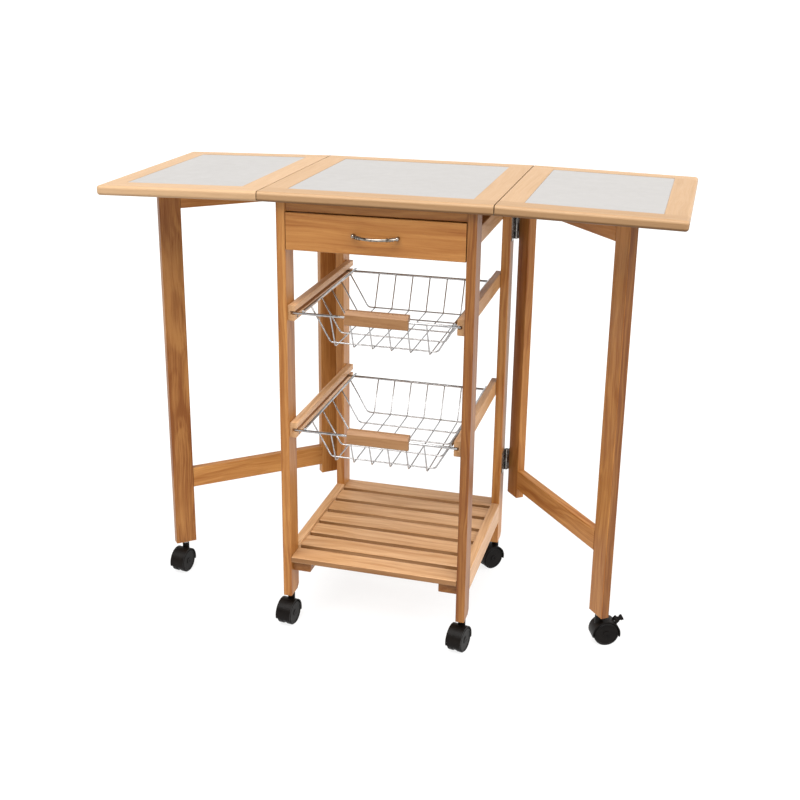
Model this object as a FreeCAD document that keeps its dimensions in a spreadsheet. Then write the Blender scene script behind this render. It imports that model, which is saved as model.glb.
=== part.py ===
import FreeCAD, Part
import math
import os
from FreeCAD import Placement, Rotation, Vector

# Drop-leaf kitchen cart on casters: a slatted-shelf frame of pine boards with a
# drawer, two sliding wire baskets, a tiled worktop, two tiled leaves on butt
# hinges and two swinging gate legs that carry the leaves. Millimetres, +X to
# the right, +Y to the back, +Z up, floor at Z = 0.

doc = FreeCAD.newDocument("KitchenCart")

# ---------------------------------------------------------------- dimensions
DIMS = [
    # overall
    ("y_shift", 4.25, "moves the model so that its bounding box is centred"),
    ("top_z", 760, "worktop height"),
    ("top_thick", 16, "worktop thickness"),
    ("top_depth", 375, "front to back"),
    ("top_half", 184.5, "half width of the centre top"),
    ("leaf_len", 275, "hinge edge to outer edge"),
    ("seam", 1.4, "gap between centre top and leaf"),
    ("rim_front", 38, "front frame rail width"),
    ("rim_back", 34, "back frame rail width"),
    ("rim_side", 37, "side frame rail width"),
    ("nose", 5, "rounding of the exposed top edges"),
    ("corner", 5.5, "rounding of the leaf corners in plan"),
    ("tile_thick", 7.7, ""),
    ("backing_thick", 8, ""),
    ("tile_gap", 0.1, "play of the tile in its frame"),
    ("relief", 4.5, "chamfer that clears the leaf hinge knuckles"),
    ("droop_left", 1.2, "degrees that the left leaf leans down on its gate"),
    ("droop_right", 1.35, "degrees that the right leaf leans down on its gate"),
    # legs and boards
    ("leg_out", 159, "outer face of the legs"),
    ("leg_thick", 15, ""),
    ("leg_wide", 38, ""),
    ("leg_front", -174, "front face of the front legs"),
    ("leg_back", 164, "back face of the rear legs"),
    ("leg_foot", 56, "underside of the legs"),
    ("foot_cut", 8, "chamfer at the back of each foot"),
    ("ease", 1.5, "rounding of long board edges"),
    ("rail_thick", 15, ""),
    ("rail_high", 26, "basket rail height"),
    ("basket_rail_thick", 12, ""),
    ("basket_rail_front", -168, ""),
    ("basket_rail_back", 147, ""),
    ("rail_up_z", 551, "underside of the upper basket rails"),
    ("rail_low_z", 350, "underside of the lower basket rails"),
    ("groove_high", 6.2, "basket rail groove"),
    ("groove_deep", 8, ""),
    ("runner_z", 673, "underside of the drawer runners"),
    ("runner_high", 29, ""),
    ("runner_front", -157, ""),
    ("slot_z", 681.4, "underside of the drawer runner groove"),
    ("slot_high", 5.2, ""),
    ("slot_deep", 8, ""),
    ("apron_high", 15, ""),
    ("apron_inset", 3, "front apron behind the leg fronts"),
    ("back_apron_high", 41, ""),
    ("shelf_rail_high", 38, ""),
    ("shelf_rail_z", 98, ""),
    ("slat_z", 121, "underside of the slats"),
    ("slat_thick", 10, ""),
    ("slat_wide", 38, ""),
    ("slat_pitch", 49.7, ""),
    ("slat_front", -173.5, ""),
    ("slat_half", 143.7, ""),
    ("bearer_wide", 32, ""),
    ("bearer_thick", 18.5, ""),
    ("bearer_front", -165, ""),
    ("bearer_len", 323, ""),
    # drawer
    ("drawer_half", 143, "half width of the drawer front"),
    ("drawer_z", 668, ""),
    ("drawer_high", 59.5, ""),
    ("drawer_front_thick", 15, ""),
    ("drawer_side_out", 127, ""),
    ("drawer_side_thick", 10, ""),
    ("drawer_side_high", 32, ""),
    ("drawer_len", 299, "behind the drawer front"),
    ("drawer_bottom_z", 682, ""),
    ("drawer_bottom_thick", 4, ""),
    ("drawer_bottom_half", 135.6, "its edges run in the runner grooves"),
    ("handle_span", 70, "between handle feet"),
    ("handle_out", 19.8, "how far the bow stands out"),
    ("handle_rod", 2.4, "bow radius"),
    ("handle_x", 3, "the handle sits a little off the middle"),
    ("handle_z", 698, ""),
    # baskets
    ("rim_rad", 2.25, "basket rim wire radius"),
    ("cross_rad", 1.5, "wires across the basket"),
    ("long_rad", 1.3, "wires front to back"),
    ("basket_x", 4.8, "the baskets stand a little off the middle"),
    ("basket_half", 123, "middle to the side rim wires"),
    ("rim_reach", 137, "ends of the front and back rim wires, in the grooves"),
    ("rim_y0", -166, ""),
    ("rim_y1", 117, ""),
    ("base_half", 89, ""),
    ("base_y0", -130.5, "front cross wire of the basket floor"),
    ("base_y1", 84, "back cross wire of the basket floor"),
    ("wire_pitch", 31.3, ""),
    ("basket_deep", 55, ""),
    ("grip_half", 51.5, ""),
    ("grip_high", 23, ""),
    ("grip_thick", 15, ""),
    ("grip_cut", 6, "chamfer along the grip's upper front edge"),
    ("grip_upper_x", 4.2, "the grips sit a little off the middle"),
    ("grip_lower_x", 7.5, ""),
    # gates
    ("pin_x", 163.2, "gate hinge axis"),
    ("pin_y", 160.3, ""),
    ("gate_off", 4.2, "hinge axis to gate face"),
    ("gate_thick", 15, ""),
    ("gate_len", 332, "hinge axis to the outer edge of the gate leg"),
    ("gate_leg_wide", 38, ""),
    ("gate_leg_top", 738, "just under the leaning leaf"),
    ("gate_top", 738, "top of stile and rail, under the leaf hinges"),
    ("stile_in", 1.4, ""),
    ("stile_wide", 34.5, ""),
    ("stile_foot", 148, ""),
    ("gate_rail_top_z", 691, ""),
    ("gate_rail_top_high", 47, ""),
    ("gate_rail_low_z", 166, ""),
    ("gate_rail_low_high", 37, ""),
    ("gate_right_open", 39, "degrees from folded"),
    ("gate_left_open", 49, "degrees from folded"),
    # hinges
    ("gate_knuckle", 3.2, ""),
    ("gate_pin", 1.5, ""),
    ("gate_hinge_high", 41, ""),
    ("gate_hinge_up_z", 634, ""),
    ("gate_hinge_low_z", 193.5, ""),
    ("plate_thick", 1.6, ""),
    ("leaf_knuckle", 2.4, ""),
    ("leaf_pin", 1.1, ""),
    ("leaf_hinge_wide", 36, ""),
    ("leaf_plate", 1.2, ""),
    # casters
    ("trail", 12, "swivel axis to axle"),
    ("wheel_rad", 21.3, ""),
    ("hood_rad", 23.9, ""),
    ("hood_half", 13.5, ""),
    ("well_rad", 21.9, "wheel wells"),
    ("axle_rad", 2.5, ""),
    ("stem_rad", 4, "in the leg"),
    ("spigot_rad", 3.5, "in the caster"),
    ("running", 0.05, "running clearance on pins and stems"),
    ("boss_rad", 6.2, ""),
    ("collar_rad", 5.8, "of the stem, under the leg"),
    ("boss_top", 52, ""),
    ("screw_head", 3.2, ""),
    ("screw_shank", 1.8, ""),
]

sheet = doc.addObject("Spreadsheet::Sheet", "Dims")
for row, (name, value, note) in enumerate(DIMS, start=1):
    sheet.set("A%d" % row, name)
    sheet.set("B%d" % row, str(value))
    sheet.set("C%d" % row, note)
    sheet.setAlias("B%d" % row, name)
doc.recompute()


class Q:
    """A length with its value and the spreadsheet expression behind it."""

    def __init__(self, text, value):
        self.text = text
        self.value = float(value)

    @staticmethod
    def of(a):
        return a if isinstance(a, Q) else Q("(%r)" % float(a), a)

    def _with(self, sign, b, value):
        return Q("(%s %s %s)" % (self.text, sign, b.text), value)

    def __add__(self, b):
        b = Q.of(b)
        return self._with("+", b, self.value + b.value)

    def __sub__(self, b):
        b = Q.of(b)
        return self._with("-", b, self.value - b.value)

    def __mul__(self, b):
        b = Q.of(b)
        return self._with("*", b, self.value * b.value)

    def __truediv__(self, b):
        b = Q.of(b)
        return self._with("/", b, self.value / b.value)

    def __radd__(self, b):
        return Q.of(b) + self

    def __rsub__(self, b):
        return Q.of(b) - self

    def __neg__(self):
        return Q.of(0) - self


class Cells:
    pass


D = Cells()
for name, value, note in DIMS:
    setattr(D, name, Q("Dims." + name, sheet.get(name)))

UNDER = D.top_z - D.top_thick
LEG_IN = D.leg_out - D.leg_thick
YS = D.y_shift.value
FRONT_LEG_Y = D.leg_front + D.leg_wide / 2
REAR_LEG_Y = D.leg_back - D.leg_wide / 2

serial = [0]
NODES = []


def fresh(stem):
    serial[0] += 1
    return "%s_%03d" % (stem, serial[0])


def node(obj, label):
    obj.Label = label
    NODES.append((label, obj))
    return obj


def v(a):
    return Q.of(a).value


# ------------------------------------------------------------ board builders
def origin_plane(body, role):
    return [f for f in body.Origin.OriginFeatures if f.Role == role][0]


def outline(body, role, points):
    """A closed sketch on one of the body's planes, each corner dimensioned
    from the sketch origin."""
    sk = body.newObject("Sketcher::SketchObject", fresh("Outline"))
    sk.AttachmentSupport = (origin_plane(body, role), [""])
    sk.MapMode = "FlatFace"
    pts = [(Q.of(a), Q.of(b)) for a, b in points]
    flat = [Vector(a.value, b.value, 0) for a, b in pts]
    n = len(flat)
    for i in range(n):
        sk.addGeometry(Part.LineSegment(flat[i], flat[(i + 1) % n]), False)
    import Sketcher

    for i in range(n):
        sk.addConstraint(Sketcher.Constraint("Coincident", i, 2, (i + 1) % n, 1))
    for i, (a, b) in enumerate(pts):
        for kind, q, axis in (("DistanceX", a, -2), ("DistanceY", b, -1)):
            if abs(q.value) < 1e-9:
                sk.addConstraint(Sketcher.Constraint("PointOnObject", i, 1, axis))
            else:
                k = sk.addConstraint(
                    Sketcher.Constraint(kind, -1, 1, i, 1, q.value)
                )
                sk.setExpression("Constraints[%d]" % k, q.text)
    return sk


def put(obj, x, y, z):
    for axis, q in (("x", Q.of(x)), ("y", Q.of(y) + D.y_shift), ("z", Q.of(z))):
        obj.setExpression("Placement.Base.%s" % axis, q.text)


def edge_names(shape, pick):
    """Names of the straight edges that pick accepts, given their middle and
    their direction."""
    out = []
    for i, e in enumerate(shape.Edges, start=1):
        if len(e.Vertexes) != 2:
            continue
        a, b = e.Vertexes[0].Point, e.Vertexes[1].Point
        d = b.sub(a)
        if d.Length < 1e-6 or abs(d.Length - e.Length) > 1e-4:
            continue
        d.normalize()
        mid = (a + b) * 0.5
        if pick(mid, d):
            out.append("Edge%d" % i)
    return out


def dress(body, kind, base, names, size):
    f = body.newObject(kind, fresh(kind.split("::")[1]))
    f.Base = (base, names)
    f.setExpression("Radius" if kind.endswith("Fillet") else "Size", Q.of(size).text)
    doc.recompute()
    return f


def long_edges(axis):
    return lambda m, d: abs(getattr(d, axis)) > 0.99


def board(sx, sy, sz, grain, ease=None):
    """A sawn board with its long edges rounded, at the origin."""
    body = doc.addObject("PartDesign::Body", fresh("Board"))
    sk = outline(body, "XY_Plane", [(0, 0), (sx, 0), (sx, sy), (0, sy)])
    pad = body.newObject("PartDesign::Pad", fresh("Pad"))
    pad.Profile = sk
    pad.setExpression("Length", Q.of(sz).text)
    doc.recompute()
    radius = D.ease if ease is None else ease
    if radius is not False:
        dress(
            body,
            "PartDesign::Fillet",
            pad,
            edge_names(pad.Shape, long_edges(grain)),
            radius,
        )
    return body


def moulding(points, length, corners, ease=None):
    """A board with a shaped section in XZ, running along Y from 0."""
    body = doc.addObject("PartDesign::Body", fresh("Moulding"))
    sk = outline(body, "XZ_Plane", points)
    pad = body.newObject("PartDesign::Pad", fresh("Pad"))
    pad.Profile = sk
    pad.setExpression("Length", Q.of(length).text)
    pad.Reversed = True
    doc.recompute()
    if pad.Shape.BoundBox.YMin < -1e-6:
        pad.Reversed = False
        doc.recompute()
    near = [(v(a), v(b)) for a, b in corners]

    def pick(m, d):
        return abs(d.y) > 0.99 and any(
            abs(m.x - a) < 1e-6 and abs(m.z - b) < 1e-6 for a, b in near
        )

    dress(
        body,
        "PartDesign::Fillet",
        pad,
        edge_names(pad.Shape, pick),
        D.ease if ease is None else ease,
    )
    return body


def bore(body, x, y, radius, depth):
    """A round hole up into a board's lower face, at local x, y."""
    import Sketcher

    sk = body.newObject("Sketcher::SketchObject", fresh("Bore"))
    sk.AttachmentSupport = (origin_plane(body, "XY_Plane"), [""])
    sk.MapMode = "FlatFace"
    x, y, radius = Q.of(x), Q.of(y), Q.of(radius)
    sk.addGeometry(
        Part.Circle(Vector(x.value, y.value, 0), Vector(0, 0, 1), radius.value), False
    )
    for kind, q in (("DistanceX", x), ("DistanceY", y)):
        k = sk.addConstraint(Sketcher.Constraint(kind, -1, 1, 0, 3, q.value))
        sk.setExpression("Constraints[%d]" % k, q.text)
    k = sk.addConstraint(Sketcher.Constraint("Radius", 0, radius.value))
    sk.setExpression("Constraints[%d]" % k, radius.text)
    before = body.Shape.Volume
    p = body.newObject("PartDesign::Pocket", fresh("Pocket"))
    p.Profile = sk
    p.setExpression("Length", Q.of(depth).text)
    p.Reversed = True
    doc.recompute()
    if body.Shape.Volume > before - 1:
        p.Reversed = False
        doc.recompute()
    hole = math.pi * radius.value**2 * v(depth)
    if abs(before - body.Shape.Volume - hole) > 0.02 * hole:
        raise ValueError("the stem bore has not cut what it should")
    return p


def group(label, members):
    c = doc.addObject("Part::Compound", fresh("Group"))
    c.Links = members
    return node(c, label)


# ------------------------------------------------------- primitives, booleans
def box(x0, x1, y0, y1, z0, z1):
    b = doc.addObject("Part::Box", fresh("Block"))
    for prop, lo, hi in (
        ("Length", x0, x1),
        ("Width", y0, y1),
        ("Height", z0, z1),
    ):
        b.setExpression(prop, (Q.of(hi) - Q.of(lo)).text)
    for axis, q in (("x", x0), ("y", y0), ("z", z0)):
        b.setExpression("Placement.Base.%s" % axis, Q.of(q).text)
    return b


def slab(x0, x1, y0, y1, z0, z1, frame):
    """A block given in the axes of a placement of its own."""
    b = doc.addObject("Part::Box", fresh("Slab"))
    b.Length, b.Width, b.Height = x1 - x0, y1 - y0, z1 - z0
    b.Placement = frame.multiply(Placement(Vector(x0, y0, z0), Rotation()))
    return b


def rod(p, q, radius):
    """A round bar between two points."""
    a, b = Vector(*[v(c) for c in p]), Vector(*[v(c) for c in q])
    c = doc.addObject("Part::Cylinder", fresh("Rod"))
    c.setExpression("Radius", Q.of(radius).text)
    c.Height = b.sub(a).Length
    c.Placement = Placement(a, Rotation(Vector(0, 0, 1), b.sub(a)))
    return c


def ball(p, radius):
    s = doc.addObject("Part::Sphere", fresh("Ball"))
    s.setExpression("Radius", Q.of(radius).text)
    s.Placement = Placement(Vector(*[v(c) for c in p]), Rotation())
    return s


def fuse(parts):
    f = doc.addObject("Part::MultiFuse", fresh("Joined"))
    f.Shapes = parts
    f.Refine = True
    return f


def cut(base, tool):
    c = doc.addObject("Part::Cut", fresh("Cut"))
    c.Base = base
    c.Tool = tool
    c.Refine = True
    return c


def shifted(obj, placement):
    obj.Placement = placement
    return obj


SHIFT = Placement(Vector(0, YS, 0), Rotation())


# --------------------------------------------------------------------- frame
def leg(label, side, front):
    """A leg board with a stem bore in its foot and a chamfer at the back."""
    high = UNDER - D.leg_foot
    body = board(D.leg_thick, D.leg_wide, high, "z", False)
    tip = body.Tip
    names = edge_names(
        tip.Shape,
        lambda m, d: abs(d.x) > 0.99 and m.z < 1e-6 and m.y > D.leg_wide.value - 0.1,
    )
    tip = dress(body, "PartDesign::Chamfer", tip, names, D.foot_cut)
    dress(
        body,
        "PartDesign::Fillet",
        tip,
        edge_names(tip.Shape, long_edges("z")),
        D.ease,
    )
    bore(body, D.leg_thick / 2, D.leg_wide / 2, D.stem_rad, 41)
    x = LEG_IN if side > 0 else -D.leg_out
    y = D.leg_front if front else D.leg_back - D.leg_wide
    put(body, x, y, D.leg_foot)
    return node(body, label)


leg("leg_front_left", -1, True)
leg("leg_front_right", 1, True)
leg("leg_rear_left", -1, False)
leg("leg_rear_right", 1, False)


def top_rail_x(x0, length, y0, wide, front, noses):
    """A worktop rail that runs along X. front tells which long side is the
    exposed one, noses which ends are outer corners."""
    body = board(length, wide, D.top_thick, "x", False)
    base = body.Tip
    out_y = 0.0 if front else v(wide)
    ends = [0.0 if e < 0 else v(length) for e in noses]
    if ends:
        base = dress(
            body,
            "PartDesign::Fillet",
            base,
            edge_names(
                base.Shape,
                lambda m, d: abs(d.z) > 0.99
                and abs(m.y - out_y) < 1e-6
                and any(abs(m.x - e) < 1e-6 for e in ends),
            ),
            D.corner,
        )

    def exposed(m, d):
        if abs(d.x) > 0.99 and abs(m.y - out_y) < 1e-6:
            return True
        return abs(d.y) > 0.99 and any(abs(m.x - e) < 1e-6 for e in ends)

    names = edge_names(base.Shape, exposed)
    # the rounded corners between those edges belong to the same nose
    for i, e in enumerate(base.Shape.Edges, start=1):
        if abs(e.Length - math.pi / 2 * D.corner.value) < 1e-3:
            names.append("Edge%d" % i)
    dress(body, "PartDesign::Fillet", base, names, D.nose)
    put(body, x0, y0, UNDER)
    return body


def top_rail_y(x0, wide, y0, length, exposed, seam):
    """A worktop rail that runs along Y. exposed (-1, 0, 1) is the side with the
    rounded nose, seam (-1, 0, 1) the side chamfered for the hinges."""
    body = board(wide, length, D.top_thick, "y", False)
    base = body.Tip
    if exposed:
        at = 0.0 if exposed < 0 else v(wide)
        base = dress(
            body,
            "PartDesign::Fillet",
            base,
            edge_names(
                base.Shape, lambda m, d: abs(d.y) > 0.99 and abs(m.x - at) < 1e-6
            ),
            D.nose,
        )
    for s in (-1, 1):
        if seam in (s, 2):
            at = 0.0 if s < 0 else v(wide)
            base = dress(
                body,
                "PartDesign::Chamfer",
                base,
                edge_names(
                    base.Shape,
                    lambda m, d: abs(d.y) > 0.99
                    and abs(m.x - at) < 1e-6
                    and m.z < 1e-6,
                ),
                D.relief,
            )
    put(body, x0, y0, UNDER)
    return body


half_depth = D.top_depth / 2
side_len = D.top_depth - D.rim_front - D.rim_back
side_y = D.rim_front - half_depth


def lean(side):
    """Placement that turns a level leaf down about its hinge pin."""
    droop = v(D.droop_right if side > 0 else D.droop_left)
    pin = Vector(side * (v(D.top_half) + v(D.seam) / 2), 0, v(UNDER))
    turn = Rotation(Vector(0, 1, 0), side * droop)
    return Placement(pin, turn).multiply(Placement(-pin, Rotation()))


def top(prefix, x0, x1, outer):
    """A tiled panel between x0 and x1: four rails, a backing board and a tile.
    outer is the side of the panel that is a free end (0 on the centre top)."""
    wide = x1 - x0
    noses = [outer] if outer else []
    rails = [
        top_rail_x(x0, wide, -half_depth, D.rim_front, True, noses),
        top_rail_x(x0, wide, half_depth - D.rim_back, D.rim_back, False, noses),
        top_rail_y(x0, D.rim_side, side_y, side_len, min(outer, 0), 0 if outer < 0 else -1),
        top_rail_y(
            x1 - D.rim_side, D.rim_side, side_y, side_len, max(outer, 0), 0 if outer > 0 else 1
        ),
    ]
    rails = group(prefix + "_frame_rails", rails)
    in_x = x0 + D.rim_side + D.tile_gap
    in_y = side_y + D.tile_gap
    in_wide = wide - D.rim_side * 2 - D.tile_gap * 2
    in_len = side_len - D.tile_gap * 2
    back = board(in_wide, in_len, D.backing_thick, "z", False)
    put(back, in_x, in_y, UNDER)
    tile = board(in_wide, in_len, D.tile_thick, "z", D.ease * 0.5)
    tip = tile.Tip
    dress(
        tile,
        "PartDesign::Chamfer",
        tip,
        edge_names(
            tip.Shape, lambda m, d: abs(d.z) < 0.01 and m.z > D.tile_thick.value - 1e-6
        ),
        0.3,
    )
    put(tile, in_x, in_y, UNDER + D.backing_thick)
    if outer:
        back = group(prefix + "_backing_board", [back])
        tile = group(prefix + "_tile", [tile])
        for c in (rails, back, tile):
            c.Placement = lean(outer)
    else:
        node(back, prefix + "_backing_board")
        node(tile, prefix + "_tile")


leaf_in = D.top_half + D.seam
leaf_out = leaf_in + D.leaf_len
top("top", -D.top_half, D.top_half, 0)
top("leaf_left", -leaf_out, -leaf_in, -1)
top("leaf_right", leaf_in, leaf_out, 1)

# the rails that tie the legs under the worktop
b = board(LEG_IN * 2, D.rail_thick, D.apron_high, "x")
put(b, -LEG_IN, D.leg_front + D.apron_inset, UNDER - D.apron_high)
node(b, "front_apron")
b = board(LEG_IN * 2, D.rail_thick, D.back_apron_high, "x")
put(b, -LEG_IN, D.leg_back - D.rail_thick, UNDER - D.back_apron_high)
node(b, "back_apron")


def grooved(side, t, high, slot_z, slot_high, slot_deep, y0, y1, z0):
    """A rail on the inner faces of the legs, grooved towards the middle."""
    if side > 0:
        pts = [
            (0, 0),
            (t, 0),
            (t, high),
            (0, high),
            (0, slot_z + slot_high),
            (slot_deep, slot_z + slot_high),
            (slot_deep, slot_z),
            (0, slot_z),
        ]
    else:
        pts = [
            (0, 0),
            (t, 0),
            (t, slot_z),
            (t - slot_deep, slot_z),
            (t - slot_deep, slot_z + slot_high),
            (t, slot_z + slot_high),
            (t, high),
            (0, high),
        ]
    body = moulding(pts, y1 - y0, [(0, 0), (t, 0), (t, high), (0, high)])
    x = LEG_IN - t if side > 0 else -LEG_IN
    put(body, x, y0, z0)
    return body


group(
    "drawer_runners",
    [
        grooved(
            s,
            D.rail_thick,
            D.runner_high,
            D.slot_z - D.runner_z,
            D.slot_high,
            D.slot_deep,
            D.runner_front,
            D.leg_back,
            D.runner_z,
        )
        for s in (-1, 1)
    ],
)
for which, z in (("upper", D.rail_up_z), ("lower", D.rail_low_z)):
    group(
        "basket_rails_" + which,
        [
            grooved(
                s,
                D.basket_rail_thick,
                D.rail_high,
                (D.rail_high - D.groove_high) / 2,
                D.groove_high,
                D.groove_deep,
                D.basket_rail_front,
                D.basket_rail_back,
                z,
            )
            for s in (-1, 1)
        ],
    )

# slatted shelf
rails = []
for s in (-1, 1):
    b = board(
        D.leg_thick,
        D.leg_back - D.leg_front - D.leg_wide * 2,
        D.shelf_rail_high,
        "y",
    )
    put(b, LEG_IN if s > 0 else -D.leg_out, D.leg_front + D.leg_wide, D.shelf_rail_z)
    rails.append(b)
group("shelf_side_rails", rails)
slats = []
for i in range(7):
    b = board(D.slat_half * 2, D.slat_wide, D.slat_thick, "x")
    put(b, -D.slat_half, D.slat_front + D.slat_pitch * i, D.slat_z)
    slats.append(b)
group("shelf_slats", slats)
bearers = []
for s in (-1, 1):
    b = board(D.bearer_wide, D.bearer_len, D.bearer_thick, "y")
    put(
        b,
        LEG_IN - D.bearer_wide if s > 0 else -LEG_IN,
        D.bearer_front,
        D.slat_z - D.bearer_thick,
    )
    bearers.append(b)
group("shelf_bearers", bearers)

# screws from inside, through the rails and bearers into the legs
screws = []
for s in (-1, 1):
    for inner, z, spots in (
        (LEG_IN - D.rail_thick, D.slot_z - 4.4, (FRONT_LEG_Y + 7, REAR_LEG_Y)),
        (
            LEG_IN - D.basket_rail_thick,
            D.rail_up_z + D.rail_high * 0.2,
            (FRONT_LEG_Y, REAR_LEG_Y - 8),
        ),
        (
            LEG_IN - D.basket_rail_thick,
            D.rail_low_z + D.rail_high * 0.2,
            (FRONT_LEG_Y, REAR_LEG_Y - 8),
        ),
        (
            LEG_IN - D.bearer_wide,
            D.slat_z - D.bearer_thick / 2,
            (FRONT_LEG_Y, REAR_LEG_Y),
        ),
    ):
        x, tip = v(inner), v(D.leg_out) - 4
        for y in spots:
            head = rod((s * (x + 0.2), y, z), (s * (x + 2), y, z), D.screw_head)
            shank = rod((s * (x + 1), y, z), (s * tip, y, z), D.screw_shank)
            screws.append(fuse([head, shank]))
c = group("frame_screws", screws)
c.Placement = SHIFT

# -------------------------------------------------------------------- drawer
b = board(D.drawer_half * 2, D.drawer_front_thick, D.drawer_high, "x")
put(b, -D.drawer_half, D.leg_front, D.drawer_z)
node(b, "drawer_front")
drawer_y = D.leg_front + D.drawer_front_thick
side_z = D.drawer_bottom_z + D.drawer_bottom_thick
sides = []
for s in (-1, 1):
    b = board(D.drawer_side_thick, D.drawer_len, D.drawer_side_high, "y", D.ease * 0.5)
    x = D.drawer_side_out - D.drawer_side_thick if s > 0 else -D.drawer_side_out
    put(b, x, drawer_y, side_z)
    sides.append(b)
group("drawer_sides", sides)
inner = D.drawer_side_out - D.drawer_side_thick
b = board(inner * 2, D.drawer_side_thick, D.drawer_side_high, "x", D.ease * 0.5)
put(b, -inner, drawer_y + D.drawer_len - D.drawer_side_thick, side_z)
node(b, "drawer_back")
b = board(D.drawer_bottom_half * 2, D.drawer_len, D.drawer_bottom_thick, "y", False)
put(b, -D.drawer_bottom_half, drawer_y, D.drawer_bottom_z)
node(b, "drawer_bottom")


def bow_handle():
    """A bowed bar pull: a round bar along one arc, a thicker ringed shank at
    each end and a foot on the drawer front."""
    half = v(D.handle_span) / 2
    face = v(D.leg_front)
    z = v(D.handle_z)
    out = v(D.handle_out)
    mid = v(D.handle_x)
    a = Vector(mid - half, face - 5, z)
    m = Vector(mid, face - out, z - 0.6)
    e = Vector(mid + half, face - 5, z)
    arc = Part.Arc(a, m, e).toShape()
    path = doc.addObject("Part::Feature", fresh("HandlePath"))
    path.Shape = Part.Wire([arc])
    start = arc.tangentAt(arc.FirstParameter)
    ring = doc.addObject("Part::Circle", fresh("HandleSection"))
    ring.setExpression("Radius", D.handle_rod.text)
    ring.Placement = Placement(a, Rotation(Vector(0, 0, 1), start))
    bar = doc.addObject("Part::Sweep", fresh("HandleBar"))
    bar.Sections = [ring]
    bar.Spine = (path, ["Edge1"])
    bar.Solid = True
    bar.Frenet = True
    pieces = [bar]
    for s, p in ((-1, a), (1, e)):
        foot = rod((p.x, face, z), (p.x, face - 6.0, z), D.handle_rod * 1.4)
        pieces += [foot, ball((p.x, face - 5.6, z), D.handle_rod * 1.4)]
    # three rings on each shank
    span = arc.LastParameter - arc.FirstParameter
    for share in (0.10, 0.155, 0.21):
        for k in (share, 1 - share):
            at = arc.FirstParameter + span * k
            p, d = arc.valueAt(at), arc.tangentAt(at)
            pieces.append(rod(p - d * 1.1, p + d * 1.1, D.handle_rod * 1.3))
    return fuse(pieces)


h = bow_handle()
h.Placement = SHIFT
node(h, "drawer_handle")


# ------------------------------------------------------------------- baskets
def basket(which, rail_z):
    """A wire basket as five flat grilles. The ends of its front and back rim
    wires run in the rail grooves."""
    z1 = v(rail_z) + v(D.rail_high) / 2
    z0 = z1 - v(D.basket_deep)
    xo, hx, reach = v(D.basket_x), v(D.basket_half), v(D.rim_reach)
    y0, y1 = v(D.rim_y0), v(D.rim_y1)
    bx, b0, b1 = v(D.base_half), v(D.base_y0), v(D.base_y1)
    k0, k1 = b0 - 10, b1 + 6
    across = [b0 + (b1 - b0) * i / 4 for i in range(5)]
    along = [xo + v(D.wire_pitch) * (i - 2.5) for i in range(6)]
    bottom = [
        rod((xo - bx + 1.5, y, z0), (xo + bx - 1.5, y, z0), D.cross_rad) for y in across
    ]
    bottom += [
        rod((x, k0 + 1.2, z0 - 1.2), (x, k1 - 1.2, z0 - 1.2), D.long_rad) for x in along
    ]
    walls = [fuse(bottom)]
    # the side rim wires lie on top of the front and back ones
    over = z1 + 2 * v(D.rim_rad) + 0.35
    for s in (-1, 1):
        x = xo + s * hx
        side = [rod((x, y0 - 2, over), (x, y1 + 2, over), D.rim_rad)]
        for y in across:
            side.append(
                rod((x, y, over), (xo + s * (bx + 1.2), y, z0 + 2.0), D.cross_rad)
            )
        walls.append(fuse(side))
    for y, knee in ((y0, k0 - 1.5), (y1, k1 + 1.5)):
        end = [rod((-reach, y, z1), (reach, y, z1), D.rim_rad)]
        for x in along:
            end.append(rod((x, y, z1), (x, knee, z0 + 2.6), D.long_rad))
        walls.append(fuse(end))
    c = group(which + "_basket_wires", walls)
    c.Placement = SHIFT
    # wooden grip hooked over the front rim, its upper front edge chamfered
    g = board(D.grip_half * 2, D.grip_thick, D.grip_high, "x")
    grip_y = D.rim_y0 - D.rim_rad - 7.25
    mid = D.grip_upper_x if which == "upper" else D.grip_lower_x
    top = z1 + 12.3
    put(g, mid - D.grip_half, grip_y, top - D.grip_high)
    rebate = box(
        mid - D.grip_half - 1,
        mid + D.grip_half + 1,
        D.rim_y0 - D.rim_rad + D.y_shift,
        D.rim_y0 + 40 + D.y_shift,
        z1 - 60,
        z1 + 2.6,
    )
    edge = Vector(v(mid), v(grip_y) + YS, top - v(D.grip_cut))
    half = v(D.grip_half) + 2
    bevel = slab(
        -half, half, -9, 18, 0, 12, Placement(edge, Rotation(Vector(1, 0, 0), 45))
    )
    node(cut(g, fuse([rebate, bevel])), which + "_basket_grip")


basket("upper", D.rail_up_z)
basket("lower", D.rail_low_z)


# --------------------------------------------------------------------- gates
def gate_frame(side):
    """Placement of the gate's own axes: x along the gate from the hinge pin,
    y across it, z up."""
    phi = v(D.gate_right_open if side > 0 else D.gate_left_open)
    angle = phi - 90 if side > 0 else -90 - phi
    base = Vector(side * v(D.pin_x), v(D.pin_y) + YS, 0)
    return Placement(base, Rotation(Vector(0, 0, 1), angle))


def gate_spot(side, u, z, thick=None):
    """Where a gate board's own corner goes."""
    t = v(D.gate_thick if thick is None else thick)
    w = v(D.gate_off) if side > 0 else -v(D.gate_off) - t
    return gate_frame(side).multiply(Placement(Vector(v(u), w, v(z)), Rotation()))


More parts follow.
